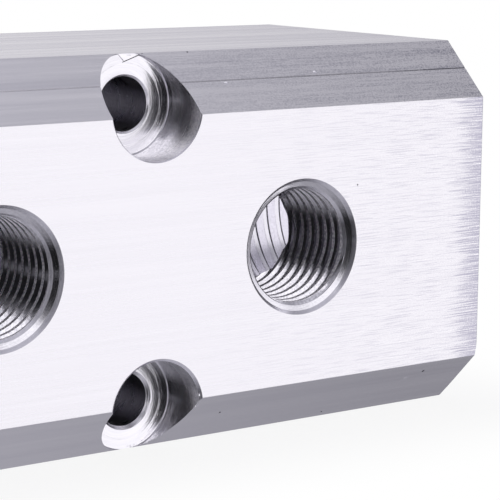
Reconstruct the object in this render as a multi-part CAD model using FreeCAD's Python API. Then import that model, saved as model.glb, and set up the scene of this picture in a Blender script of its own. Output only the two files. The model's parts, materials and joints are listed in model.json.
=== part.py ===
import FreeCAD, Part
import math
import os

# Air manifold block: one drilled and tapped aluminium bar.
# A main gallery runs its whole length, and a row of outlets opens into it from the front.
# Frame: +X along the bar, -Y is the front with the outlets, +Z up.
# The origin is at the middle of the bottom of the bar. All sizes are in millimetres.

# Bar section
bar_height = 40.0
bar_depth = 40.0
bevel_height = 5.75
bevel_depth = 6.0
rear_edge_break = 0.6
end_edge_break = 0.2

# Bar length, from the row of outlets
outlet_count = 3
outlet_pitch = 35.25
outlet_to_end = 24.25

# Outlets: parallel pipe thread, size one quarter, drilled to the tap drill's size
outlet_drill_diameter = 11.8
# Rings round each outlet, from the drilled wall outwards: lead-in, flat seat and edge break
outlet_lead_in = 0.3
outlet_seat_width = 0.5
outlet_seat_angle = 120.0
outlet_edge_break = 0.35

# Main gallery: parallel pipe thread, size one half, at both ends
gallery_drill_diameter = 19.0
gallery_mouth_diameter = 22.0

# Mounting holes for M5 cap screws, in two rows, midway between the outlets
mount_row_spacing = 30.0
screw_hole_diameter = 5.5
screw_hole_edge_break = 0.2
counterbore_diameter = 10.2
counterbore_depth = 6.1
counterbore_edge_break = 0.2

# Countersinks and edge breaks are cut at this angle, measured from wall to wall
countersink_angle = 90.0

# Every cutter starts this far outside the face that it enters
cutter_lead = 2.0


bar_length = (outlet_count - 1) * outlet_pitch + 2 * outlet_to_end
middle_z = bar_height / 2
front_y = -bar_depth / 2
rear_y = bar_depth / 2
widening = math.tan(math.radians(countersink_angle / 2))


def outlet_positions():
    first = outlet_to_end - bar_length / 2
    return [first + index * outlet_pitch for index in range(outlet_count)]


def mount_positions():
    outlets = outlet_positions()
    columns = [(left + right) / 2 for left, right in zip(outlets, outlets[1:])]
    rows = [middle_z - mount_row_spacing / 2, middle_z + mount_row_spacing / 2]
    return [(x, z) for x in columns for z in rows]


def section_outline():
    top = bar_height
    return [
        (front_y, bevel_height),
        (front_y + bevel_depth, 0),
        (rear_y - rear_edge_break, 0),
        (rear_y, rear_edge_break),
        (rear_y, top - rear_edge_break),
        (rear_y - rear_edge_break, top),
        (front_y + bevel_depth, top),
        (front_y, top - bevel_height),
    ]


def is_on_end(edge):
    return all(abs(abs(vertex.X) - bar_length / 2) < 1e-6 for vertex in edge.Vertexes)


def bevelled_bar():
    points = [FreeCAD.Vector(-bar_length / 2, y, z) for y, z in section_outline()]
    section = Part.Face(Part.makePolygon(points + points[:1]))
    bar = section.extrude(FreeCAD.Vector(bar_length, 0, 0))
    end_edges = [edge for edge in bar.Edges if is_on_end(edge)]
    return bar.makeChamfer(end_edge_break, end_edges)


def turned_cutter(profile, mouth, direction):
    # The profile is a list of (depth, radius) from the mouth's face inwards.
    inward = FreeCAD.Vector(*direction)
    across = FreeCAD.Vector(0, 0, 1)
    start = [(profile[0][0], 0)]
    end = [(profile[-1][0], 0)]
    points = [mouth + inward * depth + across * radius for depth, radius in start + profile + end]
    face = Part.Face(Part.makePolygon(points + points[:1]))
    return face.revolve(mouth, inward, 360)


def countersunk(mouth_radius, wall_radius, end_depth):
    # A countersink whose cone is carried on past the face, then the straight wall.
    sink_depth = (mouth_radius - wall_radius) / widening
    return [
        (-cutter_lead, mouth_radius + cutter_lead * widening),
        (sink_depth, wall_radius),
        (end_depth, wall_radius),
    ]


def outlet_cutter(x):
    mouth = FreeCAD.Vector(x, front_y, middle_z)
    wall_radius = outlet_drill_diameter / 2
    seat_radius = wall_radius + outlet_lead_in
    outer_radius = seat_radius + outlet_seat_width
    seat_start = outlet_edge_break / widening
    seat_end = seat_start + outlet_seat_width / math.tan(math.radians(outlet_seat_angle / 2))
    profile = [
        (-cutter_lead, outer_radius + outlet_edge_break + cutter_lead * widening),
        (seat_start, outer_radius),
        (seat_end, seat_radius),
        (seat_end + outlet_lead_in / widening, wall_radius),
        (bar_depth / 2, wall_radius),
    ]
    return turned_cutter(profile, mouth, (0, 1, 0))


def gallery_cutter(side):
    mouth = FreeCAD.Vector(side * bar_length / 2, 0, middle_z)
    profile = countersunk(gallery_mouth_diameter / 2, gallery_drill_diameter / 2, bar_length / 2)
    return turned_cutter(profile, mouth, (-side, 0, 0))


def counterbore_cutter(x, z):
    mouth = FreeCAD.Vector(x, front_y, z)
    bore_radius = counterbore_diameter / 2
    hole_radius = screw_hole_diameter / 2
    profile = countersunk(bore_radius + counterbore_edge_break, bore_radius, counterbore_depth)
    floor_break = counterbore_depth + screw_hole_edge_break / widening
    profile += [
        (counterbore_depth, hole_radius + screw_hole_edge_break),
        (floor_break, hole_radius),
        (bar_depth / 2, hole_radius),
    ]
    return turned_cutter(profile, mouth, (0, 1, 0))


def screw_exit_cutter(x, z):
    mouth = FreeCAD.Vector(x, rear_y, z)
    hole_radius = screw_hole_diameter / 2
    profile = countersunk(hole_radius + screw_hole_edge_break, hole_radius, bar_depth / 2)
    return turned_cutter(profile, mouth, (0, -1, 0))


def manifold_block():
    cutters = [outlet_cutter(x) for x in outlet_positions()]
    cutters += [gallery_cutter(side) for side in (-1, 1)]
    for x, z in mount_positions():
        cutters += [counterbore_cutter(x, z), screw_exit_cutter(x, z)]
    return bevelled_bar().cut(cutters)


os.makedirs("parts", exist_ok=True)
block = manifold_block().removeSplitter()
block.exportStep("parts/manifold_block.step")
print("manifold_block", len(block.Solids), "solid,", round(block.Volume, 1), "mm3, valid", block.isValid())
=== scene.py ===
import json
import math
import random

import bmesh
import bpy
from mathutils import Matrix, Vector


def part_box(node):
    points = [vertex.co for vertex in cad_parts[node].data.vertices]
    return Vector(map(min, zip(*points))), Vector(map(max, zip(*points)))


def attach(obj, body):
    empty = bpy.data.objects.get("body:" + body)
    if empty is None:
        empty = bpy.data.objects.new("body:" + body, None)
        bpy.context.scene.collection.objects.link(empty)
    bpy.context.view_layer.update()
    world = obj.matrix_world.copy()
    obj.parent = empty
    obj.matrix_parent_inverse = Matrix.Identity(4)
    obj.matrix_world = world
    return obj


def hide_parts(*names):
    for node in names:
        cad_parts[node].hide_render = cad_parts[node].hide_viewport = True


# Air manifold block: the looks of one drilled, counterbored and tapped bar of brushed aluminium.
# The block is cut here once more, with its real threads, tool marks and burrs.
# All lengths are in metres, in the part's own frame: +X along the bar, -Y the front, +Z up.

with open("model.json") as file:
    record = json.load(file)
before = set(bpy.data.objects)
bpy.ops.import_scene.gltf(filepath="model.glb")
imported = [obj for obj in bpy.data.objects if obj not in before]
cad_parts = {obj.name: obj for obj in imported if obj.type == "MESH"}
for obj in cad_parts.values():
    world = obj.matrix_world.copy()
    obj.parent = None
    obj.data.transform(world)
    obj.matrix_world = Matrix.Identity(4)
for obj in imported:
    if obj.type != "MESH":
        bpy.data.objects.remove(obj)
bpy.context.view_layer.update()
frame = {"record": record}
mm = 0.001

# The bar and its holes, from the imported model
low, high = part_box("manifold_block")
mounts = {mount["name"]: mount for mount in frame["record"]["mounts"]}
outlets = [Vector(mounts[name]["pos_m"]) for name in ("outlet_left", "outlet_middle", "outlet_right")]
screw_pattern = mounts["screw_holes"]["dims"]
middle_z = outlets[0].z
gallery_radius = mounts["inlet_right"]["dims"]["r_mm"] * mm
outlet_radius = mounts["outlet_right"]["dims"]["r_mm"] * mm
screw_hole_radius = screw_pattern["hole_r_mm"] * mm

# The section and the machined edges
bevel_height = 5.75 * mm
bevel_depth = 6.0 * mm
rear_edge_break = 0.6 * mm
edge_radius = 0.16 * mm
end_edge_radius = 0.14 * mm
corner_steps = 3

# A die line that runs along the middle of the upper bevel, this share of the way up it
die_line_share = 0.51
die_line_width = 0.18 * mm
die_line_depth = 0.09 * mm

# Outlets: parallel pipe thread, size one quarter
outlet_pitch = 1.337 * mm
outlet_major_radius = 6.5785 * mm
# Rings round each outlet, from its wall outwards
outlet_lead_in = 0.3 * mm
outlet_seat_width = 0.5 * mm
outlet_seat_half_angle = math.radians(60)
outlet_edge_break = 0.35 * mm
# The depth of a thread's crest on the right side of its outlet, from the left outlet to the right one
outlet_crest_depths = [1.7 * mm, 2.02 * mm, 2.5 * mm]

# Gallery: parallel pipe thread, size one half, at both ends
gallery_pitch = 1.814 * mm
gallery_major_radius = 10.4775 * mm
gallery_sink_radius = 11.0 * mm
gallery_thread_length = 16.0 * mm
# Where a crest of its thread lies along the bar, on the rear wall
gallery_crest = 49.95 * mm
# The screw that cuts a thread has its crests this far inside the drilled wall, which stays as the crests.
crest_clearance = 0.03 * mm

# Counterbores for the screw heads
counterbore_radius = 5.1 * mm
counterbore_depth = 6.1 * mm
counterbore_corner_radius = 0.15 * mm
# Inside its ring the floor is dished, and this much deeper at the hole.
floor_dish = 0.16 * mm
floor_ring_radius = 4.05 * mm
floor_ring_width = 0.10 * mm
floor_ring_depth = 0.014 * mm
# Edge breaks at the mouth and at the hole in the floor, each for the lower row and the upper row
counterbore_rims = [0.28 * mm, 0.12 * mm]
screw_edge_breaks = [0.35 * mm, 0.2 * mm]
screw_exit_break = 0.2 * mm

# The worn corner on the front face: (how much is worn off the length, height), in millimetres
worn_corner = [(0.0, 8.6), (0.04, 7.6), (0.12, 6.7), (0.30, 5.9), (0.36, 5.6), (0.42, 4.0)]
# The length of the right end's worn finish, and how much of that its edge is frayed
end_wear_length = 4.0 * mm
fraying = 0.3

# Balls pressed into the front and its bevels: (x, z, radius, depth), in millimetres
pits = [
    (26.9, 3.15, 0.18, 0.14),
    (52.9, 4.5, 0.18, 0.14),
    (42.1, 0.6, 0.12, 0.1),
    (42.3, 25.9, 0.09, 0.08),
    (24.9, 39.9, 0.10, 0.08),
]
dents = [
    (23.0, 4.7, 0.35, 0.06),
    (27.5, 36.9, 0.35, 0.06),
    (39.1, 37.5, 0.35, 0.06),
    (51.0, 3.9, 0.5, 0.04),
]

# Burrs where the counterbores break out through the bevels: (degrees round the hole, how many)
upper_burrs = [(50, 9), (70, 5), (20, 4)]
lower_burrs = [(-74, 7), (-55, 4), (4, 2)]
burr_scatter = 7
burr_seed = 5
burr_length = 0.2 * mm
# What is left of the thin edge above the right upper counterbore: (x, z), in millimetres
torn_edge = [(16.8, 39.98), (17.5, 39.28), (19.6, 39.98)]
crack_width = 0.17 * mm
crack_depth = 0.2 * mm

# Whitworth form, which every pipe thread has
thread_half_angle = math.radians(27.5)
sharp_height_share = 0.960491
rounding_share = 1 / 6
root_radius_share = 0.137329
# The corners of the outlets' crests are worn round.
outlet_crest_corner = 0.07 * mm

# How finely round things are divided, and the angle that counts as a sharp edge
outlet_segments = 96
gallery_segments = 96
turned_segments = 128
thread_steps = 3
foot_steps = 4
pit_subdivisions = 3
sharp_angle = math.radians(28)

# Brushed marks: cycles a metre along X, Y and Z
fine_lines = (70, 7800, 7800)
broad_bands = (9, 560, 560)
frayed_edge = (120, 2600, 2600)
brushed_specks = (5200, 6500, 6500)
# Separate marks: the same, then the noise at which a mark starts and is full
short_streaks = ((240, 9500, 9500), 0.53, 0.63)
straight_strokes = ((60, 6400, 6400), 0.52, 0.66)
stroke_pieces = ((330, 1500, 1500), 0.5, 0.6)
shining_strokes = ((50, 6900, 6900), 0.56, 0.70)
shining_places = ((260, 1700, 1700), 0.52, 0.62)
brushed_bump = 0.002 * mm
# The marks start to grow at this share of the left half's length.
growth_start = 0.2
least_growth = 0.05
full_growth = 1.25

# Turned marks: rings a metre of radius or depth, and specks a metre
ring_frequency = 4500
turned_specks = (4600, 4600, 4600)

# The studio's patches, in degrees: where each starts to show, is full, starts to fade and is gone.
# A turn is to the right of straight in front, and a rise is above the horizon.
dark_turns = (-70, -44, -16, 8)
dark_rises = (-44, -28, 12, 46)
strip_turns = (-56, -48, -30, -25)
strip_rises = (-14, -11, -7, -4)
left_screen_turns = (-150, -135, -92, -54)
left_screen_rises = (-46, -30, 34, 54)
skylight_turns = (-175, -155, -102, -82)
skylight_rises = (32, 40, 70, 78)
side_screen_turns = (54, 62, 108, 122)
side_screen_rises = (-46, -36, 26, 42)
right_screen_rises = (-36, -24, 42, 58)
# The right screen's near edge leans to the left as it rises, and its top and foot sink to the right.
right_screen_near = (-8, 5)
right_screen_lean = 0.45
right_screen_far = (60, 70)
right_screen_sinking = (0.4, -10)
# Behind the block the patch has two sides, and shows in full from the larger turn on.
behind_turns = (110, 160)
behind_rises = (-60, -25, 25, 60)

# Over each pair of rises or turns the level goes from the first of its pair of levels to the second,
# and over the horizon from the level below to the level above.
horizon_rises = (-10, 10)
above_rises = (44, 64)
above_levels = (0.34, 0.56)
below_rises = (-33, -66)
below_levels = (0.14, 0.48)
screen_turns = (26, 44)
screen_levels = (1.10, 1.05)
# How bright the other parts of the studio are, where 1 is white
behind_level = 0.77
dark_level = 0.01
strip_level = 0.1
left_share = 0.86
green_share = 0.985
# Blue away from the screens, and in them
blue_shares = (1.09, 1.02)

# The lamp that makes the block's shadow
lamp_place = (-0.40, 0.32, 0.74)
lamp_aim = (0, 0, 0.02)
lamp_side = 0.6
lamp_watts = 1.8

# The table: how far it lies below the block, how far the shadow shows on it, and how white it stays there
table_corners = [(-1.5, -1.5), (1.5, -1.5), (1.5, 2.5), (-1.5, 2.5)]
table_gap = 0.02 * mm
shadow_reach = 20 * mm
shadow_whiteness = 0.88

# Everything that is cut starts this far outside the face that it enters
lead = 2.0 * mm
merge_distance = 1e-4 * mm


# Small helpers for node trees


def add_node(tree, kind, **settings):
    made = tree.nodes.new(kind)
    for name, value in settings.items():
        setattr(made, name, value)
    return made


def plug(tree, value, socket):
    if isinstance(value, bpy.types.NodeSocket):
        tree.links.new(value, socket)
    else:
        socket.default_value = value


def compute(tree, operation, *values, clamp=False):
    made = add_node(tree, "ShaderNodeMath", operation=operation, use_clamp=clamp)
    for value, socket in zip(values, made.inputs):
        plug(tree, value, socket)
    return made.outputs[0]


def product(tree, first, second):
    return compute(tree, "MULTIPLY", first, second)


def compute_vector(tree, operation, *values):
    made = add_node(tree, "ShaderNodeVectorMath", operation=operation)
    if operation == "SCALE":
        plug(tree, values[0], made.inputs["Vector"])
        plug(tree, values[1], made.inputs["Scale"])
        return made.outputs["Vector"]
    for value, socket in zip(values, made.inputs):
        plug(tree, value, socket)
    return made.outputs["Value" if operation == "LENGTH" else "Vector"]


def remap(tree, value, low_in, high_in, low_out=0.0, high_out=1.0, smooth=False):
    made = add_node(tree, "ShaderNodeMapRange", interpolation_type="SMOOTHSTEP" if smooth else "LINEAR")
    for given, name in (
        (value, "Value"),
        (low_in, "From Min"),
        (high_in, "From Max"),
        (low_out, "To Min"),
        (high_out, "To Max"),
    ):
        plug(tree, given, made.inputs[name])
    return made.outputs["Result"]


def mix_colors(tree, share, first, second):
    made = add_node(tree, "ShaderNodeMix", data_type="RGBA")
    plug(tree, share, made.inputs["Factor"])
    plug(tree, first, made.inputs["A"])
    plug(tree, second, made.inputs["B"])
    return made.outputs["Result"]


def noise(tree, coordinates, stretch, detail):
    # Noise with its own frequency along each axis
    scaled = compute_vector(tree, "MULTIPLY", coordinates, stretch)
    made = add_node(tree, "ShaderNodeTexNoise", noise_dimensions="3D")
    plug(tree, scaled, made.inputs["Vector"])
    made.inputs["Scale"].default_value = 1.0
    made.inputs["Detail"].default_value = detail
    made.inputs["Roughness"].default_value = 0.55
    return made.outputs["Fac"]


def new_material(name):
    made = bpy.data.materials.new(name)
    made.use_nodes = True
    return made, made.node_tree, made.node_tree.nodes["Principled BSDF"]


def object_place(tree):
    return add_node(tree, "ShaderNodeTexCoord").outputs["Object"]


# Metal finishes


def weighted_sum(tree, *pairs):
    total = 0.0
    for value, weight in pairs:
        total = compute(tree, "MULTIPLY_ADD", value, weight, total)
    return total


def centred(tree, value, spread=0.2):
    # Noise lies round a half: this spreads it from -1 to 1.
    return remap(tree, value, 0.5 - spread, 0.5 + spread, -1.0, 1.0)


def marks(tree, place, stretch, start, full):
    # Separate marks, where the noise is strong
    return remap(tree, noise(tree, place, stretch, 1.0), start, full, smooth=True)


def metal(tree, shader, tone, first_share, colors, anisotropy, tangent):
    # A lighter tone takes more of the first colour, and a darker one more of the second.
    light, dark = colors
    share = compute(tree, "MULTIPLY_ADD", tone, -0.5, first_share, clamp=True)
    plug(tree, mix_colors(tree, share, (*light, 1), (*dark, 1)), shader.inputs["Base Color"])
    shader.inputs["Metallic"].default_value = 1.0
    shader.inputs["Anisotropic"].default_value = anisotropy
    plug(tree, tangent, shader.inputs["Tangent"])


def bumps(tree, shader, height, depth):
    bump = add_node(tree, "ShaderNodeBump")
    bump.inputs["Distance"].default_value = depth
    plug(tree, height, bump.inputs["Height"])
    plug(tree, bump.outputs["Normal"], shader.inputs["Normal"])


def brushed(
    name,
    base,
    dark,
    roughness,
    lines=0.3,
    bands=0.3,
    dashes=0.3,
    glints=0.3,
    grain=0.2,
    streaks=0.0,
    line_frequency=2900,
    first_growth=0.35,
    wear=0.0,
    painted_shade=0.0,
    anisotropy=0.7,
):
    # Aluminium drawn and brushed along X. Each value from lines to streaks is the strength of one kind of
    # mark. The marks grow from first_growth in the left half to the right end, which may be worn and dark.
    material, tree, shader = new_material(name)
    place = object_place(tree)
    split = add_node(tree, "ShaderNodeSeparateXYZ")
    plug(tree, place, split.inputs[0])
    fine = centred(tree, noise(tree, place, fine_lines, 2.0))
    medium = centred(tree, noise(tree, place, (30, line_frequency, line_frequency), 2.0))
    broad = centred(tree, noise(tree, place, broad_bands, 2.0))
    speck = centred(tree, noise(tree, place, brushed_specks, 1.0), 0.16)
    streak = marks(tree, place, *short_streaks)
    # Straight strokes, broken up into dashes
    scratch = product(tree, marks(tree, place, *straight_strokes), marks(tree, place, *stroke_pieces))
    glint = product(tree, marks(tree, place, *shining_strokes), marks(tree, place, *shining_places))
    # The marks grow towards the right end, and most of all over its last few millimetres.
    growth = remap(tree, split.outputs["X"], growth_start * low.x, high.x, first_growth, full_growth)
    growth = compute(tree, "MAXIMUM", growth, least_growth)
    frayed = centred(tree, noise(tree, place, frayed_edge, 2.0))
    reach = compute(tree, "MULTIPLY_ADD", frayed, fraying * end_wear_length, split.outputs["X"])
    last = remap(tree, reach, high.x - end_wear_length, high.x, smooth=True)
    worn = product(tree, last, wear)
    growth = compute(tree, "ADD", growth, worn)
    # With painted_shade the tone darkens as the marks grow: painted shade for the dark hollows.
    tone = weighted_sum(
        tree,
        (product(tree, fine, growth), lines),
        (medium, lines),
        (broad, bands),
        (product(tree, scratch, growth), -dashes),
        (product(tree, glint, growth), glints),
        (product(tree, speck, growth), grain),
        (worn, -0.5),
        (product(tree, fine, worn), 0.7),
        (product(tree, streak, growth), -streaks),
        (growth, -painted_shade),
    )
    normal = add_node(tree, "ShaderNodeNewGeometry").outputs["Normal"]
    across = compute_vector(tree, "CROSS_PRODUCT", normal, (1, 0, 0))
    metal(tree, shader, tone, 0.2, (base, dark), anisotropy, across)
    plug(tree, remap(tree, medium, -1, 1, roughness * 0.85, roughness * 1.2), shader.inputs["Roughness"])
    height = weighted_sum(
        tree,
        (fine, 0.3),
        (medium, 0.2),
        (scratch, -dashes),
        (glint, glints),
        (speck, grain),
    )
    bumps(tree, shader, product(tree, height, growth), brushed_bump)
    return material


def to_nearest_axis(tree, place, pitch, offset, first_z, row_spacing):
    # The place seen from the nearest hole along Y: the holes repeat along X, and lie in one row or two.
    split = add_node(tree, "ShaderNodeSeparateXYZ")
    plug(tree, place, split.inputs[0])
    shifted = compute(tree, "ADD", split.outputs["X"], pitch / 2 - offset)
    x = compute(tree, "SUBTRACT", compute(tree, "FLOORED_MODULO", shifted, pitch), pitch / 2)
    z = compute(tree, "SUBTRACT", split.outputs["Z"], first_z)
    if row_spacing:
        side = compute(tree, "SIGN", z)
        z = compute(tree, "SUBTRACT", z, product(tree, side, row_spacing / 2))
    joined = add_node(tree, "ShaderNodeCombineXYZ")
    plug(tree, x, joined.inputs["X"])
    plug(tree, z, joined.inputs["Z"])
    return joined.outputs[0], split.outputs["Y"]


def turned(name, base, dark, roughness, centre, depth, gouges=0.3, grain=0.3, anisotropy=0.8, torn=0.0):
    # Metal that a drill, tap, countersink or counterbore has cut: rings round the hole's axis.
    # depth is how deep the rings are, gouges and grain how strongly those two kinds of mark show,
    # and torn how much rougher the hole is towards the front of the bar.
    material, tree, shader = new_material(name)
    place = object_place(tree)
    across, along = to_nearest_axis(tree, place, *centre)
    radius = compute_vector(tree, "LENGTH", across)
    direction = compute_vector(tree, "NORMALIZE", across)
    # Points that share a ring share most of this place, so the noise is drawn out round the axis.
    rings_at = add_node(tree, "ShaderNodeCombineXYZ")
    plug(tree, product(tree, radius, ring_frequency), rings_at.inputs["X"])
    plug(tree, product(tree, along, ring_frequency), rings_at.inputs["Y"])

    def drawn_out(share, breaks):
        scaled = compute_vector(tree, "SCALE", rings_at.outputs[0], share)
        around = compute_vector(tree, "SCALE", direction, breaks)
        return noise(tree, compute_vector(tree, "ADD", scaled, around), (1, 1, 1), 2.0)

    rings = centred(tree, drawn_out(1.0, 1.6))
    broad = centred(tree, drawn_out(0.25, 1.0))
    gouge = remap(tree, drawn_out(0.6, 5.0), 0.54, 0.64, smooth=True)
    speck = centred(tree, noise(tree, place, turned_specks, 2.0), 0.16)
    tone = weighted_sum(tree, (rings, 0.3), (broad, 0.2), (gouge, -gouges), (speck, grain))
    # Light spreads across the rings: away from the axis on a floor, and along it on a wall.
    normal = add_node(tree, "ShaderNodeNewGeometry").outputs["Normal"]
    ring_way = compute_vector(tree, "CROSS_PRODUCT", direction, (0, 1, 0))
    spread = compute_vector(tree, "CROSS_PRODUCT", normal, ring_way)
    metal(tree, shader, tone, 0.35, (base, dark), anisotropy, spread)
    even = remap(tree, broad, -1, 1, roughness * 0.8, roughness * 1.25)
    rougher = remap(tree, along, low.y, low.y + 0.7 * counterbore_depth, torn, 0.0)
    plug(tree, compute(tree, "ADD", even, rougher), shader.inputs["Roughness"])
    height = weighted_sum(tree, (rings, 0.4), (broad, 0.3), (gouge, -gouges), (speck, grain / 2))
    bumps(tree, shader, height, depth)
    return material


# Shapes


def rounded_outline(points, radius, steps):
    # A closed outline whose corners are arcs. Each point is its arc's centre and a spoke of unit length,
    # so that shorter spokes give the same outline further in.
    outline = []
    count = len(points)
    for index, corner in enumerate(points):
        back = (Vector(points[index - 1]) - Vector(corner)).normalized()
        ahead = (Vector(points[(index + 1) % count]) - Vector(corner)).normalized()
        half = back.angle(ahead) / 2
        centre = Vector(corner) + (back + ahead).normalized() * radius / math.sin(half)
        start = Vector(corner) + back * radius / math.tan(half) - centre
        end = Vector(corner) + ahead * radius / math.tan(half) - centre
        turn = start.angle_signed(end)
        for step in range(steps + 1):
            spoke = start.copy()
            spoke.rotate(Matrix.Rotation(-turn * step / steps, 2))
            outline.append((centre, spoke / radius))
    return outline


def bar_section():
    front, rear, bottom, top = low.y, high.y, low.z, high.z
    bevel_start = Vector((front, top - bevel_height))
    bevel_end = Vector((front + bevel_depth, top))
    along = (bevel_end - bevel_start).normalized()
    outward = Vector((-along.y, along.x))
    line = bevel_start.lerp(bevel_end, die_line_share)
    return {
        "corners": [
            (front, bottom + bevel_height),
            (front + bevel_depth, bottom),
            (rear - rear_edge_break, bottom),
            (rear, bottom + rear_edge_break),
            (rear, top - rear_edge_break),
            (rear - rear_edge_break, top),
            tuple(bevel_end),
            tuple(bevel_start),
        ],
        "die_line": [
            line + along * die_line_width / 2,
            line - outward * die_line_depth,
            line - along * die_line_width / 2,
        ],
        "outward": outward,
    }


def bar_mesh():
    section = bar_section()
    outline = rounded_outline(section["corners"], edge_radius, corner_steps)
    # The die line comes between the bevel's last two corners.
    line_start = (len(section["corners"]) - 1) * (corner_steps + 1)
    outward = section["outward"]
    line = [(point - outward * edge_radius, outward) for point in section["die_line"]]
    outline[line_start:line_start] = line
    built = bmesh.new()
    half_length = (high.x - low.x) / 2
    rings = []
    for side in (-1, 1):
        for step in range(corner_steps + 1):
            turn = math.pi / 2 * (step / corner_steps if side == -1 else 1 - step / corner_steps)
            inset = end_edge_radius * (1 - math.sin(turn))
            x = side * (half_length - end_edge_radius * (1 - math.cos(turn)))
            ring = []
            for centre, spoke in outline:
                place = centre + spoke * (edge_radius - inset)
                ring.append(built.verts.new((x, place.x, place.y)))
            rings.append(ring)
    count = len(outline)
    for first, second in zip(rings, rings[1:]):
        for index in range(count):
            ahead = (index + 1) % count
            built.faces.new((first[index], first[ahead], second[ahead], second[index]))
    built.faces.new(rings[0])
    built.faces.new(rings[-1])
    return built


def to_object(built, name, materials):
    bmesh.ops.remove_doubles(built, verts=built.verts, dist=merge_distance)
    bmesh.ops.recalc_face_normals(built, faces=built.faces)
    mesh = bpy.data.meshes.new(name)
    built.to_mesh(mesh)
    built.free()
    for material in materials:
        mesh.materials.append(material)
    made = bpy.data.objects.new(name, mesh)
    bpy.context.scene.collection.objects.link(made)
    return made


def placed(built, mouth, first, second, inward):
    # Local X and Y are across the hole, and local Z goes into it.
    turn = Matrix((first, second, inward)).transposed().to_4x4()
    built.transform(Matrix.Translation(mouth) @ turn)
    return built


def lathe(profile, segments):
    # profile: (depth, radius, slot of the face that follows), from outside inwards.
    built = bmesh.new()
    rings = []
    for depth, radius, _ in profile:
        ring = []
        for step in range(segments):
            turn = math.tau * step / segments
            ring.append(built.verts.new((radius * math.cos(turn), radius * math.sin(turn), depth)))
        rings.append(ring)
    for index, (first, second) in enumerate(zip(rings, rings[1:])):
        for step in range(segments):
            ahead = (step + 1) % segments
            face = built.faces.new((first[step], first[ahead], second[ahead], second[step]))
            face.material_index = profile[index][2]
    built.faces.new(rings[0])
    built.faces.new(rings[-1])
    return built


def thread_form(pitch, major_radius, wall_radius, corner_radius=0.0):
    # (place along one pitch, radius) of an internal Whitworth thread, from one crest's middle to the next.
    # Also how far out a crest's corners reach.
    crest_radius = wall_radius - crest_clearance
    sharp_height = sharp_height_share * pitch
    apex = major_radius + sharp_height * rounding_share
    flank_lean = math.pi / 2 - thread_half_angle
    crest_half = pitch / 2 - (apex - wall_radius) / math.tan(flank_lean)
    corner = crest_half - corner_radius * math.tan(flank_lean / 2)
    half = [(0.0, crest_radius), (corner - crest_clearance / math.tan(flank_lean), crest_radius)]
    if corner_radius:
        for step in range(1, thread_steps + 1):
            lean = flank_lean * step / thread_steps
            rise = corner_radius * (1 - math.cos(lean))
            half.append((corner + corner_radius * math.sin(lean), wall_radius + rise))
    root_radius = root_radius_share * pitch
    centre = major_radius - root_radius
    for step in range(thread_steps + 1):
        lean = flank_lean * (1 - step / thread_steps)
        half.append((pitch / 2 - root_radius * math.sin(lean), centre + root_radius * math.cos(lean)))
    form = half + [(pitch - along, radius) for along, radius in half[-2:0:-1]]
    return form, wall_radius + corner_radius * (1 - math.cos(flank_lean)) + merge_distance


def threaded_plug(thread, pitch, start, stop, crest, segments, swell, crest_slot, flank_slots):
    # A closed screw from start to stop. Its rows follow a right-handed helix with a crest's middle
    # at the depth crest on local X, and swell(depth) is added to each radius.
    # The first of the flank slots is for the flanks that face inwards, the second for the others.
    form, crest_reach = thread
    built = bmesh.new()
    first_turn = math.floor((start - crest) / pitch) - 1
    last_turn = math.ceil((stop - crest) / pitch)
    turns = range(first_turn, last_turn)
    rows = [(crest + turn * pitch + along, radius) for turn in turns for along, radius in form]
    grid = []
    for along, radius in rows:
        row = []
        for step in range(segments + 1):
            turn = math.tau * step / segments
            depth = along + pitch * step / segments
            reach = radius + swell(depth)
            row.append(built.verts.new((reach * math.cos(turn), reach * math.sin(turn), depth)))
        grid.append(row)
    for index, (first, second) in enumerate(zip(grid, grid[1:])):
        slot = flank_slots[index % len(form) * 2 // len(form)]
        if max(rows[index][1], rows[index + 1][1]) < crest_reach:
            slot = crest_slot
        for step in range(segments):
            face = built.faces.new((first[step], first[step + 1], second[step + 1], second[step]))
            face.material_index = slot
    # The first and last rows are turns of a helix: each is closed by a fan to a point on the axis.
    per_turn = len(form)
    near = grid[0][::-1] + [grid[index][0] for index in range(1, per_turn + 1)]
    far = grid[-1] + [grid[index][-1] for index in range(len(grid) - 2, len(grid) - 2 - per_turn, -1)]
    for loop in (near, far):
        depth = sum(vertex.co.z for vertex in loop) / len(loop)
        tip = built.verts.new((0, 0, depth))
        for first, second in zip(loop, loop[1:]):
            built.faces.new((first, second, tip))
    return built


def cut(target, cutter):
    modifier = target.modifiers.new("cut", "BOOLEAN")
    modifier.operation = "DIFFERENCE"
    modifier.solver = "MANIFOLD"
    modifier.material_mode = "INDEX"
    modifier.object = cutter
    graph = bpy.context.evaluated_depsgraph_get()
    mesh = bpy.data.meshes.new_from_object(target.evaluated_get(graph), depsgraph=graph)
    target.modifiers.clear()
    target.data = mesh
    bpy.data.objects.remove(cutter)


# The block: every cutter carries the same list of finishes, so a face keeps its finish's number.

FACE, TOP, BEVEL, LOWER_BEVEL, SHADED_HOLLOW, END, END_EDGE = range(7)
SINK, SEAT, CREST, THREAD, FAR_FLANK, INNER_THREAD, BORE = range(7, 14)
FLOOR_RIM, FLOOR, WALL, SCREW_HOLE = range(14, 18)
slots = [None] * (SCREW_HOLE + 1)
# The way into a hole in the front: two directions across it, then inwards
into_front = (Vector((0, 0, 1)), Vector((1, 0, 0)), Vector((0, 1, 0)))


def finish_of(normal):
    # The finish of one of the bar's own faces, from the way it faces
    if abs(normal.x) > 0.95:
        return END
    if abs(normal.x) > 0.1:
        return END_EDGE
    if normal.y < -0.4 and abs(normal.z) > 0.4:
        return BEVEL if normal.z > 0 else LOWER_BEVEL
    return TOP if normal.z > 0.9 else FACE


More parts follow.
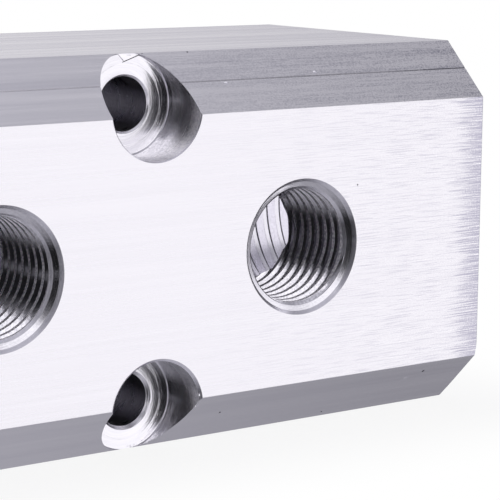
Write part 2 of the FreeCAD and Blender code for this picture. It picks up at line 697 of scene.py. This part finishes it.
def bar():
    built = bar_mesh()
    bmesh.ops.recalc_face_normals(built, faces=built.faces)
    section = bar_section()
    line_y, line_z = section["die_line"][1]
    for face in built.faces:
        face.material_index = finish_of(face.normal)
        middle = face.calc_center_median()
        # The die line's faces take the dark hollow finish: painted shade in its groove.
        if math.hypot(middle.y - line_y, middle.z - line_z) < die_line_width:
            face.material_index = SHADED_HOLLOW
    return to_object(built, "block", slots)


def outlet_cutters(place, crest_depth):
    mouth = Vector((place.x, low.y, place.z))
    stop = -low.y - gallery_radius / 2
    bore = [(-lead, outlet_radius, CREST), (stop, outlet_radius, CREST)]
    form = thread_form(outlet_pitch, outlet_major_radius, outlet_radius, outlet_crest_corner)
    seat_radius = outlet_radius + outlet_lead_in
    outer_radius = seat_radius + outlet_seat_width
    seat_end = outlet_edge_break + outlet_seat_width / math.tan(outlet_seat_half_angle)
    sink = [
        (-lead, outer_radius + outlet_edge_break + lead, SINK),
        (outlet_edge_break, outer_radius, SEAT),
        (seat_end, seat_radius, SINK),
        (seat_end + seat_radius / 2, seat_radius / 2, SINK),
    ]
    # The thread grows to its full depth over its first half turn, below the seat.
    fade = outlet_pitch / 2
    depth = outlet_major_radius - seat_radius

    def swell(along):
        return -depth * min(1.0, max(0.0, 1 - (along - seat_end) / fade))

    # The right side of the hole is a quarter turn on from local X.
    crest = crest_depth - outlet_pitch / 4
    # The flanks that face inwards take dark metal: painted shade in the grooves.
    flanks = (FAR_FLANK, THREAD)
    screw = threaded_plug(form, outlet_pitch, -lead, stop, crest, outlet_segments, swell, CREST, flanks)
    shapes = [lathe(bore, outlet_segments), screw, lathe(sink, turned_segments)]
    return [placed(shape, mouth, *into_front) for shape in shapes]


def gallery_cutters():
    length = high.x - low.x
    along = (Vector((0, 1, 0)), Vector((0, 0, 1)), Vector((1, 0, 0)))
    centre = Vector((0, 0, middle_z))
    bore = [(-length / 2 - lead, gallery_radius, BORE), (length / 2 + lead, gallery_radius, BORE)]
    made = [placed(lathe(bore, gallery_segments), centre, *along)]
    form = thread_form(gallery_pitch, gallery_major_radius, gallery_radius)
    fade = 2 * gallery_pitch
    depth = gallery_major_radius - gallery_radius + crest_clearance

    def swell(place):
        from_end = length / 2 - abs(place)
        return depth * min(0.0, (gallery_thread_length - from_end) / fade)

    inner = length / 2 - gallery_thread_length - fade
    flanks = (INNER_THREAD, INNER_THREAD)
    for start, stop in ((-length / 2 - lead, -inner), (inner, length / 2 + lead)):
        screw = threaded_plug(
            form, gallery_pitch, start, stop, gallery_crest, gallery_segments, swell, BORE, flanks
        )
        made.append(placed(screw, centre, *along))
    tip = gallery_sink_radius / 2
    sink = [(-lead, gallery_sink_radius + lead, SINK), (tip, tip, SINK)]
    for side in (-1, 1):
        end = Vector((side * length / 2, 0, middle_z))
        inwards = (Vector((0, -side, 0)), Vector((0, 0, 1)), Vector((-side, 0, 0)))
        made.append(placed(lathe(sink, turned_segments), end, *inwards))
    return made


def screw_hole_cutters(x, z):
    row = int(z > middle_z)
    rim = counterbore_rims[row]
    screw_edge_break = screw_edge_breaks[row]
    mouth = Vector((x, low.y, z))
    depth = high.y - low.y
    corner = counterbore_corner_radius
    profile = [
        (-lead, counterbore_radius + rim + lead, SINK),
        (rim, counterbore_radius, WALL),
    ]
    for step in range(foot_steps + 1):
        turn = math.pi / 2 * step / foot_steps
        along = counterbore_depth - corner * (1 - math.sin(turn))
        radius = counterbore_radius - corner * (1 - math.cos(turn))
        profile.append((along, radius, FLOOR_RIM))

    def dished(radius):
        inward = (floor_ring_radius - radius) / (floor_ring_radius - screw_hole_radius)
        return counterbore_depth + floor_dish * max(0.0, inward)

    outer_ring = floor_ring_radius + floor_ring_width / 2
    inner_ring = floor_ring_radius - floor_ring_width / 2
    chamfer_radius = screw_hole_radius + screw_edge_break
    profile += [
        (dished(outer_ring), outer_ring, FLOOR_RIM),
        (dished(floor_ring_radius) + floor_ring_depth, floor_ring_radius, FLOOR),
        (dished(inner_ring), inner_ring, FLOOR),
        (dished(chamfer_radius), chamfer_radius, FLOOR),
        (dished(chamfer_radius) + screw_edge_break, screw_hole_radius, SCREW_HOLE),
        (depth - screw_exit_break, screw_hole_radius, SINK),
        (depth + lead, screw_hole_radius + screw_exit_break + lead, SINK),
    ]
    return [placed(lathe(profile, turned_segments), mouth, *into_front)]


def worn_corner_cutter():
    # The lower right front corner is rubbed away: a fan from the foot of the bevel to a curve on the front.
    built = bmesh.new()
    foot = Vector((high.x, low.y + bevel_depth, low.z))
    tip = built.verts.new(foot)
    curve = [Vector((high.x - worn * mm, low.y, height * mm)) for worn, height in worn_corner]
    curve.append(Vector((high.x + lead, low.y, curve[-1].z)))
    curve.append(Vector((high.x + lead, low.y, curve[0].z)))
    reach = (bevel_depth + lead) / bevel_depth
    ring = [built.verts.new(foot + (point - foot) * reach) for point in curve]
    for first, second in zip(ring, ring[1:] + ring[:1]):
        built.faces.new((first, second, tip))
    built.faces.new(ring)
    for face in built.faces:
        face.material_index = FACE
    return built


def front_surface(z):
    # The place in y and the outward normal of the front and its two bevels at a height.
    top_part = (z - (high.z - bevel_height)) / bevel_height
    bottom_part = (low.z + bevel_height - z) / bevel_height
    part = max(top_part, bottom_part, 0.0)
    if part == 0:
        return low.y, Vector((0, -1, 0))
    upward = 1 if top_part > 0 else -1
    normal = Vector((0, -bevel_height, upward * bevel_depth)).normalized()
    return low.y + part * bevel_depth, normal


def hollow_cutter(hollows, slot):
    built = bmesh.new()
    for x, z, radius, depth in hollows:
        y, normal = front_surface(z * mm)
        centre = Vector((x * mm, y, z * mm)) + normal * (radius - depth) * mm
        place = Matrix.Translation(centre)
        bmesh.ops.create_icosphere(built, subdivisions=pit_subdivisions, radius=radius * mm, matrix=place)
    for face in built.faces:
        face.material_index = slot
    return built


def add_shard(built, base, tip):
    # A thin splinter: three corners in the metal and one that stands out of it.
    corners = [built.verts.new(place) for place in [*base, tip]]
    for first, second, third in ((0, 1, 2), (0, 1, 3), (1, 2, 3), (2, 0, 3)):
        face = built.faces.new((corners[first], corners[second], corners[third]))
        face.material_index = FLOOR


def add_burrs(built, x, z, groups):
    # Splinters along the edge where a counterbore breaks out through a bevel.
    for middle, count in groups:
        for _ in range(count):
            turn = math.radians(random.gauss(middle, burr_scatter))
            outward = Vector((math.cos(turn), 0, math.sin(turn)))
            along = Vector((-math.sin(turn), 0, math.cos(turn)))
            height = min(max(z + counterbore_radius * math.sin(turn), burr_length), high.z - burr_length)
            y, normal = front_surface(height)
            edge = Vector((x + counterbore_radius * math.cos(turn), y, height))
            length = burr_length * random.uniform(0.5, 1.3)
            base = [
                edge + along * length * 0.6,
                edge - along * length * 0.6,
                edge + outward * length - normal * length,
            ]
            lean = -outward * random.uniform(-0.2, 0.8) + along * random.uniform(-1, 1)
            tip = edge + normal * length * 0.7 + lean * length
            tip.y = max(tip.y, low.y)
            add_shard(built, base, tip)


def add_prism(built, first, second, slot):
    # A prism between two triangles
    ends = [[built.verts.new(corner) for corner in corners] for corners in (first, second)]
    faces = []
    for index in range(3):
        ahead = (index + 1) % 3
        side = (ends[0][index], ends[0][ahead], ends[1][ahead], ends[1][index])
        faces.append(built.faces.new(side))
    faces += [built.faces.new(end) for end in ends]
    for face in faces:
        face.material_index = slot


def add_torn_edge(built):
    # A torn scrap of the thin edge between the counterbore's floor and the top of the bevel
    depths = (counterbore_depth + burr_length / 2, bevel_depth)
    rear, front = [[(x * mm, low.y + depth, z * mm) for x, z in torn_edge] for depth in depths]
    add_prism(built, rear, front, FLOOR)


def crack_cutter():
    # The scrap is torn off along its right side, which leaves a narrow crack in the floor.
    built = bmesh.new()
    start, end = [Vector((x * mm, low.y + counterbore_depth, z * mm)) for x, z in torn_edge[1:]]
    along = (end - start).normalized()
    across = Vector((0, 1, 0)).cross(along) * crack_width
    inward = Vector((0, crack_depth, 0))
    ends = []
    for place in (start - along * crack_width, end):
        ends.append((place - inward, place + across - inward, place + across / 2 + inward))
    # The crack takes the dark hollow finish: painted shade.
    add_prism(built, *ends, SHADED_HOLLOW)
    return built


def join_burrs(mesh):
    random.seed(burr_seed)
    built = bmesh.new()
    add_torn_edge(built)
    for x, z in screw_places():
        add_burrs(built, x, z, upper_burrs if z > middle_z else lower_burrs)
    bmesh.ops.recalc_face_normals(built, faces=built.faces)
    built.from_mesh(mesh)
    built.to_mesh(mesh)
    built.free()


def screw_places():
    half_x = screw_pattern["spacing_x_mm"] * mm / 2
    half_z = screw_pattern["spacing_y_mm"] * mm / 2
    return [(x, middle_z + z) for x in (-half_x, half_x) for z in (-half_z, half_z)]


def split_finishes(mesh):
    # Shading breaks wherever two finishes meet in a hole.
    built = bmesh.new()
    built.from_mesh(mesh)
    turned_finishes = range(SINK, SCREW_HOLE + 1)
    for edge in built.edges:
        finishes = {face.material_index for face in edge.link_faces}
        if len(finishes) > 1 and any(finish in turned_finishes for finish in finishes):
            edge.smooth = False
    built.to_mesh(mesh)
    built.free()


def favour_flats(mesh):
    # Along their rounded edges the bar's flat sides alone decide the shading, so they stay flat.
    slope = bar_section()["outward"]
    flats = [Vector((1, 0, 0)), Vector((0, 1, 0)), Vector((0, 0, 1))]
    flats += [Vector((0, slope.x, slope.y)), Vector((0, slope.x, -slope.y))]
    # Blender's own name and value for a face with a strong influence
    strength = mesh.attributes.new("__mod_weightednormals_faceweight", "INT", "FACE")
    strong = 16384
    for face in mesh.polygons:
        on_side = face.material_index in (FACE, TOP, BEVEL, LOWER_BEVEL, END)
        if on_side and any(abs(face.normal.dot(flat)) > 0.9999 for flat in flats):
            strength.data[face.index].value = strong


def block():
    made = bar()
    cutters = gallery_cutters()
    for place, crest_depth in zip(outlets, outlet_crest_depths):
        cutters += outlet_cutters(place, crest_depth)
    for x, z in screw_places():
        cutters += screw_hole_cutters(x, z)
    # The pits take the dark hollow finish, which paints shade into them.
    cutters += [worn_corner_cutter(), hollow_cutter(pits, SHADED_HOLLOW), hollow_cutter(dents, SINK)]
    cutters.append(crack_cutter())
    for cutter in cutters:
        cut(made, to_object(cutter, "cutter", slots))
    join_burrs(made.data)
    made.data.shade_smooth()
    made.data.set_sharp_from_angle(angle=sharp_angle)
    split_finishes(made.data)
    favour_flats(made.data)
    weighted = made.modifiers.new("weighted", "WEIGHTED_NORMAL")
    weighted.keep_sharp = True
    weighted.use_face_influence = True
    return made


# The studio


def band(tree, value, start, full, fall, gone):
    rise = remap(tree, value, start, full, smooth=True)
    drop = remap(tree, value, fall, gone, 1.0, 0.0, smooth=True)
    return product(tree, rise, drop)


def blend(tree, share, first, second):
    made = add_node(tree, "ShaderNodeMix", data_type="FLOAT")
    plug(tree, share, made.inputs["Factor"])
    plug(tree, first, made.inputs["A"])
    plug(tree, second, made.inputs["B"])
    return made.outputs["Result"]


def patch(tree, turn, rise, turns, rises):
    return product(tree, band(tree, turn, *turns), band(tree, rise, *rises))


def right_screen(tree, turn, rise):
    # The white screen to the right of the camera
    leaning = compute(tree, "MULTIPLY_ADD", rise, right_screen_lean, turn)
    near = remap(tree, leaning, *right_screen_near, smooth=True)
    across = product(tree, near, remap(tree, turn, *right_screen_far, 1.0, 0.0))
    sinking = compute(tree, "MAXIMUM", compute(tree, "MULTIPLY_ADD", turn, *right_screen_sinking), 0.0)
    tall = band(tree, compute(tree, "ADD", rise, sinking), *right_screen_rises)
    return product(tree, across, tall)


def left_screen(tree, turn, rise):
    # The screen on the left, with a pale patch high above it
    screen = patch(tree, turn, rise, left_screen_turns, left_screen_rises)
    skylight = patch(tree, turn, rise, skylight_turns, skylight_rises)
    return product(tree, compute(tree, "MAXIMUM", screen, skylight), left_share)


def studio(tree, turn, rise):
    # The colour that metal sees in one direction
    above = remap(tree, rise, *above_rises, *above_levels)
    below = remap(tree, rise, *below_rises, *below_levels)
    room = blend(tree, remap(tree, rise, *horizon_rises), below, above)
    behind = remap(tree, compute(tree, "ABSOLUTE", turn), *behind_turns, smooth=True)
    behind = product(tree, behind, band(tree, rise, *behind_rises))
    room = blend(tree, behind, room, behind_level)
    # Darkness round the camera, with a narrow strip of light below it
    level = blend(tree, patch(tree, turn, rise, dark_turns, dark_rises), room, dark_level)
    level = blend(tree, patch(tree, turn, rise, strip_turns, strip_rises), level, strip_level)
    side_screen = patch(tree, turn, rise, side_screen_turns, side_screen_rises)
    screens = compute(tree, "MAXIMUM", right_screen(tree, turn, rise), side_screen)
    screens = compute(tree, "MAXIMUM", screens, left_screen(tree, turn, rise))
    level = blend(tree, screens, level, remap(tree, turn, *screen_turns, *screen_levels))
    # Away from the screens the light is bluer.
    neutral = compute(tree, "MAXIMUM", screens, behind)
    color = add_node(tree, "ShaderNodeCombineColor")
    plug(tree, level, color.inputs["Red"])
    plug(tree, product(tree, level, green_share), color.inputs["Green"])
    plug(tree, product(tree, level, blend(tree, neutral, *blue_shares)), color.inputs["Blue"])
    return color.outputs[0]


def world_light():
    # White behind the object for the camera. Metal sees a studio: a white screen to the right of the
    # camera, another on the left, darkness round the camera itself, and grey elsewhere.
    world = bpy.data.worlds.new("studio")
    bpy.context.scene.world = world
    world.use_nodes = True
    tree = world.node_tree
    split = add_node(tree, "ShaderNodeSeparateXYZ")
    plug(tree, add_node(tree, "ShaderNodeTexCoord").outputs["Generated"], split.inputs[0])
    x, y, z = split.outputs
    ahead = product(tree, y, -1.0)
    turn = compute(tree, "DEGREES", compute(tree, "ARCTAN2", x, ahead))
    rise = compute(tree, "DEGREES", compute(tree, "ARCSINE", z))
    path = add_node(tree, "ShaderNodeLightPath").outputs
    seen = compute(tree, "MAXIMUM", path["Is Camera Ray"], path["Is Transmission Ray"])
    shown = mix_colors(tree, seen, studio(tree, turn, rise), (1, 1, 1, 1))
    plug(tree, shown, tree.nodes["Background"].inputs["Color"])


def soft_lamp():
    # It makes the block's shadow. What the metal reflects is the world's screens.
    data = bpy.data.lights.new("soft_top", "AREA")
    data.shape = "RECTANGLE"
    data.size = lamp_side
    data.size_y = lamp_side
    data.energy = lamp_watts
    made = bpy.data.objects.new("soft_top", data)
    made.location = lamp_place
    made.rotation_euler = (Vector(lamp_aim) - Vector(lamp_place)).to_track_quat("-Z", "Y").to_euler()
    made.visible_glossy = False
    bpy.context.scene.collection.objects.link(made)


def floor():
    # A large white table that keeps the block's soft shadow. Metal sees the studio through it.
    built = bmesh.new()
    built.faces.new([built.verts.new((x, y, -table_gap)) for x, y in table_corners])
    material, tree, shader = new_material("table")
    shader.inputs["Base Color"].default_value = (0.90, 0.90, 0.91, 1)
    shader.inputs["Roughness"].default_value = 0.9
    shader.inputs["Specular IOR Level"].default_value = 0.1
    split = add_node(tree, "ShaderNodeSeparateXYZ")
    plug(tree, object_place(tree), split.inputs[0])
    x, y, _ = split.outputs
    aside = remap(tree, compute(tree, "ABSOLUTE", x), high.x, high.x + shadow_reach)
    beyond = remap(tree, compute(tree, "ABSOLUTE", y), high.y, high.y + shadow_reach)
    squares = compute(tree, "MULTIPLY_ADD", aside, aside, compute(tree, "POWER", beyond, 2.0))
    away = compute(tree, "SQRT", squares)
    path = add_node(tree, "ShaderNodeLightPath").outputs
    whiteness = remap(tree, away, 0, 1, shadow_whiteness, 1.0, smooth=True)
    table = add_node(tree, "ShaderNodeMixShader")
    plug(tree, product(tree, path["Is Camera Ray"], whiteness), table.inputs[0])
    plug(tree, shader.outputs[0], table.inputs[1])
    plug(tree, add_node(tree, "ShaderNodeEmission").outputs[0], table.inputs[2])
    shown = add_node(tree, "ShaderNodeMixShader")
    through = compute(tree, "MAXIMUM", path["Is Glossy Ray"], path["Is Transmission Ray"])
    plug(tree, through, shown.inputs[0])
    plug(tree, table.outputs[0], shown.inputs[1])
    plug(tree, add_node(tree, "ShaderNodeBsdfTransparent").outputs[0], shown.inputs[2])
    plug(tree, shown.outputs[0], tree.nodes["Material Output"].inputs["Surface"])
    made = to_object(built, "table", [material])


def camera():
    # Solved from the photo, which is 500 pixels square: the place, the way it looks, and the lens.
    picture_side = 500
    focal_pixels = 2070.1
    place = Vector((-90.90, -186.96, 54.73)) * mm
    heading = math.radians(35.597)
    fall = math.radians(9.527)
    roll = math.radians(-0.478)
    data = bpy.data.cameras.new("camera")
    data.sensor_width = 36
    data.lens = focal_pixels / picture_side * data.sensor_width
    data.clip_start = 0.01
    data.clip_end = 20
    made = bpy.data.objects.new("camera", data)
    level = math.cos(fall)
    forward = Vector((math.sin(heading) * level, math.cos(heading) * level, -math.sin(fall)))
    right = forward.cross(Vector((0, 0, 1))).normalized()
    right.rotate(Matrix.Rotation(roll, 3, forward))
    up = right.cross(forward)
    turn = Matrix((right, up, -forward)).transposed().to_4x4()
    made.matrix_world = Matrix.Translation(place) @ turn
    bpy.context.scene.collection.objects.link(made)
    bpy.context.scene.camera = made


# The finishes: each has the colour of bare metal, then the colour of its darkest marks.
# Where shade is painted, the first colour is darker metal.

white_metal = (0.98, 0.97, 0.985)
violet_marks = (0.50, 0.49, 0.58)
outlet_spacing = outlets[1].x - outlets[0].x
outlet_axis = (outlet_spacing, outlets[0].x, middle_z, 0)
screw_spacing = screw_pattern["spacing_x_mm"] * mm
screw_axis = (screw_spacing, screw_spacing / 2, middle_z, screw_pattern["spacing_y_mm"] * mm)

# The bar's own surfaces
slots[FACE] = brushed(
    "brushed_face",
    white_metal,
    violet_marks,
    roughness=0.26,
    lines=0.02,
    bands=0.03,
    grain=0.15,
    streaks=0.6,
    first_growth=-1.0,
    wear=2.2,
)
slots[TOP] = brushed(
    "brushed_top",
    white_metal,
    violet_marks,
    roughness=0.26,
    lines=0.2,
    bands=0.5,
    glints=0.25,
    grain=0.1,
    wear=0.3,
)
slots[BEVEL] = brushed(
    "brushed_bevel",
    (0.98, 0.97, 0.99),
    (0.50, 0.50, 0.56),
    roughness=0.2,
    bands=0.35,
    glints=0.9,
    grain=0.75,
    streaks=-1.0,
    line_frequency=1300,
    first_growth=-0.5,
    wear=0.3,
)
slots[LOWER_BEVEL] = brushed(
    "smooth_bevel",
    (0.94, 0.93, 0.96),
    (0.66, 0.65, 0.71),
    roughness=0.2,
    lines=0.06,
    bands=0.2,
    dashes=0.1,
    glints=0.1,
    grain=0.1,
)
# Dark metal for the die line, the pits and the crack: painted shade in these hollows.
slots[SHADED_HOLLOW] = brushed(
    "die_line",
    (0.62, 0.61, 0.66),
    (0.10, 0.10, 0.12),
    roughness=0.45,
    dashes=0.2,
    glints=0.1,
    first_growth=-0.1,
    painted_shade=0.9,
    anisotropy=0.0,
)
slots[END] = brushed(
    "milled_end",
    (0.90, 0.89, 0.93),
    (0.66, 0.65, 0.70),
    roughness=0.32,
    anisotropy=0.0,
)
# Darker metal on the rounded end edges: painted shade along them, with dark specks.
slots[END_EDGE] = brushed(
    "end_edge_painted_shade",
    (0.50, 0.49, 0.55),
    (0.16, 0.15, 0.20),
    roughness=0.4,
    dashes=0.6,
    glints=0.6,
    grain=0.8,
    anisotropy=0.0,
)
# The outlets and the gallery, and every edge break
slots[SINK] = turned(
    "turned_sink",
    (0.92, 0.91, 0.96),
    (0.66, 0.65, 0.71),
    roughness=0.2,
    centre=outlet_axis,
    depth=0.004 * mm,
)
slots[SEAT] = turned(
    "turned_seat",
    (0.97, 0.96, 1.0),
    (0.66, 0.65, 0.70),
    roughness=0.16,
    centre=outlet_axis,
    depth=0.006 * mm,
    anisotropy=0.85,
)
slots[CREST] = turned(
    "torn_crest",
    (1.0, 0.99, 1.0),
    (0.62, 0.61, 0.66),
    roughness=0.95,
    centre=outlet_axis,
    depth=0.012 * mm,
    grain=1.6,
    anisotropy=0.0,
)
slots[THREAD] = turned(
    "cut_thread",
    (0.97, 0.96, 1.0),
    (0.60, 0.59, 0.64),
    roughness=0.09,
    centre=outlet_axis,
    depth=0.002 * mm,
    grain=0.9,
    anisotropy=0.3,
)
# Dark metal on the thread flanks that face inwards: painted shade, so that the outlets' grooves look black.
slots[FAR_FLANK] = turned(
    "far_flank_painted_shade",
    (0.40, 0.39, 0.43),
    (0.22, 0.21, 0.24),
    roughness=0.35,
    centre=outlet_axis,
    depth=0.004 * mm,
    grain=0.8,
    anisotropy=0.3,
)
slots[INNER_THREAD] = turned(
    "cut_gallery_thread",
    (0.95, 0.94, 0.98),
    (0.82, 0.81, 0.86),
    roughness=0.18,
    centre=outlet_axis,
    depth=0.001 * mm,
    gouges=0.1,
    grain=0.5,
    anisotropy=0.0,
)
slots[BORE] = turned(
    "bored_gallery",
    (0.88, 0.87, 0.92),
    (0.76, 0.75, 0.80),
    roughness=0.22,
    centre=outlet_axis,
    depth=0.001 * mm,
    gouges=0.1,
    anisotropy=0.0,
)
# The counterbores and the screw holes
slots[FLOOR_RIM] = turned(
    "counterbore_rim",
    (0.98, 0.97, 1.0),
    (0.74, 0.73, 0.78),
    roughness=0.14,
    centre=screw_axis,
    depth=0.012 * mm,
    gouges=0.2,
    grain=0.05,
    anisotropy=0.5,
)
slots[FLOOR] = turned(
    "counterbore_floor",
    (0.98, 0.97, 1.0),
    (0.82, 0.81, 0.86),
    roughness=0.2,
    centre=screw_axis,
    depth=0.010 * mm,
    gouges=0.15,
    grain=0.05,
)
slots[WALL] = turned(
    "counterbore_wall",
    (0.99, 0.98, 1.0),
    (0.66, 0.65, 0.70),
    roughness=0.15,
    centre=screw_axis,
    depth=0.003 * mm,
    gouges=0.4,
    grain=0.9,
    anisotropy=0.7,
    torn=0.25,
)
# The drilled hole is darker metal: painted shade deep in the hole.
slots[SCREW_HOLE] = turned(
    "drilled_hole_painted_shade",
    (0.60, 0.59, 0.64),
    (0.38, 0.37, 0.41),
    roughness=0.3,
    centre=screw_axis,
    depth=0.005 * mm,
    anisotropy=0.5,
)

manifold = block()
manifold.name = "machined_block"
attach(manifold, "root")
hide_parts("manifold_block")

floor()
world_light()
soft_lamp()
camera()
bpy.context.scene.view_settings.view_transform = "Standard"
